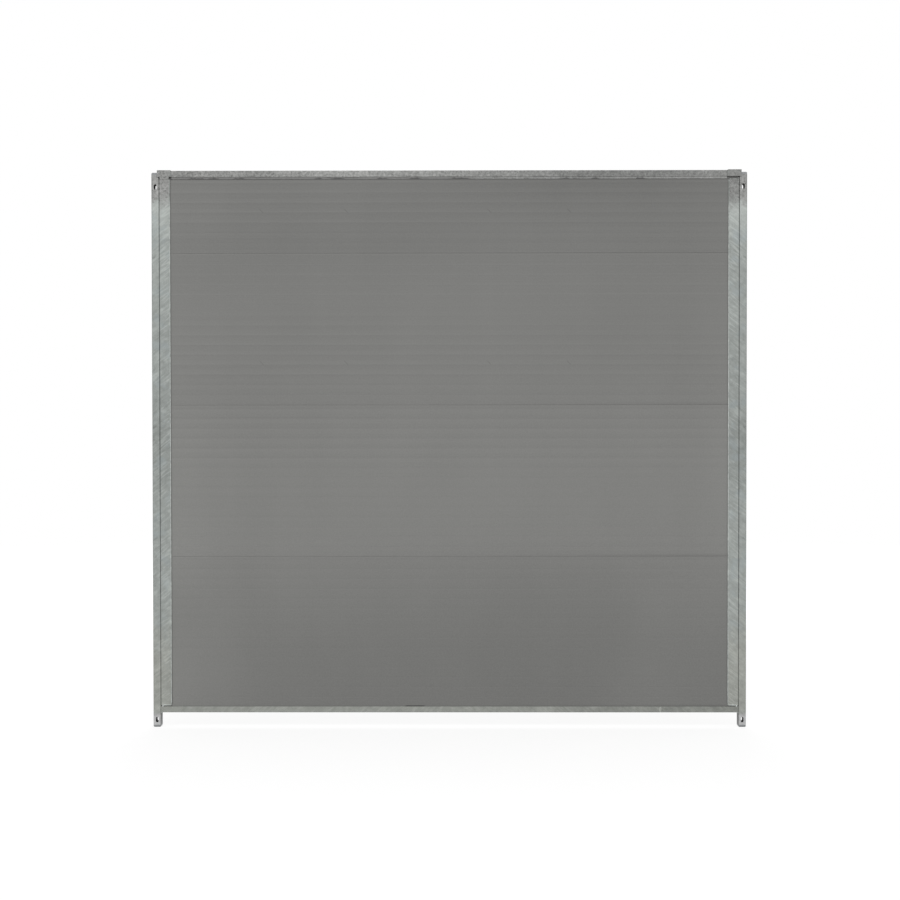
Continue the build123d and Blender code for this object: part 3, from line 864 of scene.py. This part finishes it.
for side, sign in SIDES.items():
    make_channel_edges(side, sign)
    make_channel_welds(side, sign)
    make_post_welds(side, sign)
    make_strap_edges(side, sign)
make_rail_drips()
make_rail_run()
make_gap_zinc("left", start=2 * MM - POST_INNER, end=-FLANGE_TIP - 3 * MM,
              top=(-22.6 * MM, FACE_FOOT + 2 * MM), foot=(-19.2 * MM, FLANGE_TOP - 3 * MM),
              half_out=1.3 * MM, material=sheet_zinc)
make_gap_zinc("right", start=POST_INNER + 3 * MM, end=FLANGE_TIP - 2 * MM,
              top=(-15.5 * MM, FACE_FOOT - 0.8 * MM), foot=(-15.5 * MM, FLANGE_TOP - 0.8 * MM),
              half_out=0.8 * MM, material=rail_zinc)


def floor_material():
    """White floor that still takes the panel's shadow: it shows white to the camera and in reflections."""
    graph = Graph("floor_white")
    light_path = graph.add("ShaderNodeLightPath").outputs
    seen = graph.larger(light_path["Is Camera Ray"], light_path["Is Glossy Ray"])
    seen = graph.larger(seen, light_path["Is Transmission Ray"])
    shadow_share = graph.add("ShaderNodeBsdfDiffuse", {"Color": FLOOR_SHADOW_SHARE}).outputs[0]
    distance = graph.add("ShaderNodeVectorMath", {0: graph.place}, operation="LENGTH").outputs["Value"]
    strength = graph.span(distance, *FLOOR_GLOW_REACH, *FLOOR_GLOW)
    glow = graph.add("ShaderNodeEmission", {"Color": WHITE, "Strength": strength}).outputs[0]
    shown = graph.add("ShaderNodeAddShader", {0: shadow_share, 1: glow}).outputs[0]
    pale = graph.add("ShaderNodeBsdfDiffuse", {"Color": FLOOR_PALE}).outputs[0]
    both = graph.add("ShaderNodeMixShader", {0: seen, 1: pale, 2: shown}).outputs[0]
    graph.add("ShaderNodeOutputMaterial", {"Surface": both})
    return graph.material


def make_floor():
    """Round pale floor under the feet."""
    mesh = bpy.data.meshes.new("floor")
    shape = bmesh.new()
    bmesh.ops.create_circle(shape, cap_ends=True, segments=FLOOR_CORNERS, radius=FLOOR_RADIUS)
    shape.to_mesh(mesh)
    shape.free()
    mesh.materials.append(floor_material())
    floor = bpy.data.objects.new("floor", mesh)
    floor.location.z = -FLOOR_DROP
    scene.collection.objects.link(floor)


def make_world():
    """Even studio light, and white wherever the camera or a reflection looks past the panel."""
    world = bpy.data.worlds.new("studio")
    scene.world = world
    world.use_nodes = True
    tree = world.node_tree
    tree.nodes.clear()
    path = tree.nodes.new("ShaderNodeLightPath").outputs
    seen = path["Is Camera Ray"]
    for other in ("Is Glossy Ray", "Is Transmission Ray"):
        largest = tree.nodes.new("ShaderNodeMath")
        largest.operation = "MAXIMUM"
        tree.links.new(seen, largest.inputs[0])
        tree.links.new(path[other], largest.inputs[1])
        seen = largest.outputs[0]
    mix = tree.nodes.new("ShaderNodeMixShader")
    tree.links.new(seen, mix.inputs[0])
    for socket, strength in ((1, WORLD_LIGHT), (2, WORLD_SHOWN)):
        background = tree.nodes.new("ShaderNodeBackground")
        background.inputs["Color"].default_value = WHITE
        background.inputs["Strength"].default_value = strength
        tree.links.new(background.outputs[0], mix.inputs[socket])
    output = tree.nodes.new("ShaderNodeOutputWorld")
    tree.links.new(mix.outputs[0], output.inputs["Surface"])


def make_softbox(name, place, width, height, power):
    """Rectangular soft light that faces the middle of the panel."""
    light = bpy.data.lights.new(name, "AREA")
    light.shape = "RECTANGLE"
    light.size = width
    light.size_y = height
    light.energy = power
    lamp = bpy.data.objects.new(name, light)
    lamp.location = place
    panel_middle = Vector((0, 0, HEIGHT / 2))
    lamp.rotation_euler = (panel_middle - Vector(place)).to_track_quat("-Z", "Y").to_euler()
    scene.collection.objects.link(lamp)


def make_camera():
    """The photograph's camera."""
    data = bpy.data.cameras.new("camera")
    data.sensor_width = SENSOR_WIDTH_MM
    data.lens = CAMERA_FOCAL_PIXELS * SENSOR_WIDTH_MM / PHOTO_SIZE
    data.clip_end = CAMERA_CLIP_END
    camera = bpy.data.objects.new("camera", data)
    turn = Matrix.Rotation(radians(CAMERA_YAW), 3, "Z")
    turn = turn @ Matrix.Rotation(radians(CAMERA_PITCH), 3, "X")
    turn = turn @ Matrix.Rotation(radians(CAMERA_ROLL), 3, "Y")
    right, forward, up = turn.col
    axes = Matrix((right, up, -forward)).transposed()
    camera.matrix_world = Matrix.Translation(CAMERA_PLACE) @ axes.to_4x4()
    scene.collection.objects.link(camera)
    scene.camera = camera


make_floor()
make_world()
for lamp in LAMPS:
    make_softbox(*lamp)
make_camera()
